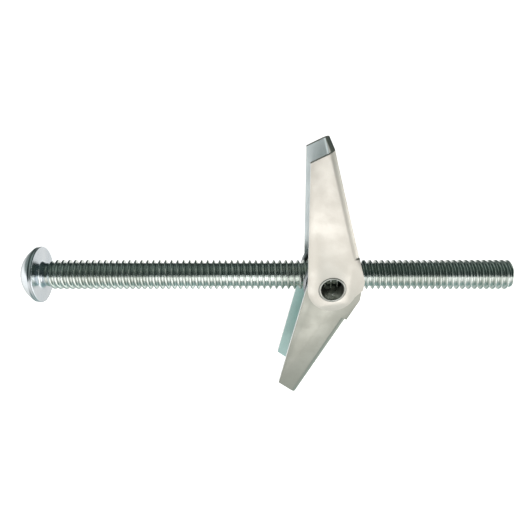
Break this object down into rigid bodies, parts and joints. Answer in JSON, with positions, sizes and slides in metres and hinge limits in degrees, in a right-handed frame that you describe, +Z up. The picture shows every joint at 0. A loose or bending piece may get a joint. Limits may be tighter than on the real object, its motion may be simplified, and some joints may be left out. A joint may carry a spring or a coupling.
{
  "type": "spring toggle bolt",
  "caption": "Spring toggle bolt: round-head machine screw through a trunnion nut whose folded sheet wings spring open behind a hollow wall.",
  "frame": {"origin": "centre of the screw head's bearing face, on the screw's axis", "axes": "+X along the screw from its head to its tip, +Z up along the wings' pivot axis, +Y towards the left wing"},
  "size_m": [0.1032, 0.056, 0.0132],
  "materials": {
    "bolt_zinc": "bright zinc plate with a faint blue-green tint",
    "nut_zinc": "zinc plated steel, satin",
    "wing_zinc": "zinc plated sheet, satin, with bright sheared edges",
    "wing_zinc_dull": "zinc plated sheet, satin, duller",
    "spring_wire": "drawn spring wire, dull grey"
  },
  "bodies": {
    "screw": {"bolt": "bolt_zinc"},
    "nut": {"trunnion_nut": "nut_zinc", "torsion_spring": "spring_wire"},
    "left": {"left_wing": "wing_zinc"},
    "right": {"right_wing": "wing_zinc_dull"}
  },
  "joints": [
    {"name": "nut_travel", "type": "slide", "parent": "screw", "child": "nut", "axis": [1, 0, 0], "range_m": [-0.02794, 0.03175]},
    {"name": "left_wing_fold", "type": "hinge", "parent": "nut", "child": "left", "pos_m": [0.0607, 0, 0], "axis": [0, 0, 1], "range_deg": [-1, 79], "stiffness_Nm_per_rad": 0.05, "deforming": ["torsion_spring"]},
    {"name": "right_wing_fold", "type": "hinge", "parent": "nut", "child": "right", "pos_m": [0.0607, 0, 0], "axis": [0, 0, -1], "range_deg": [-12.5, 67.5], "stiffness_Nm_per_rad": 0.05, "deforming": ["torsion_spring"]}
  ]
}
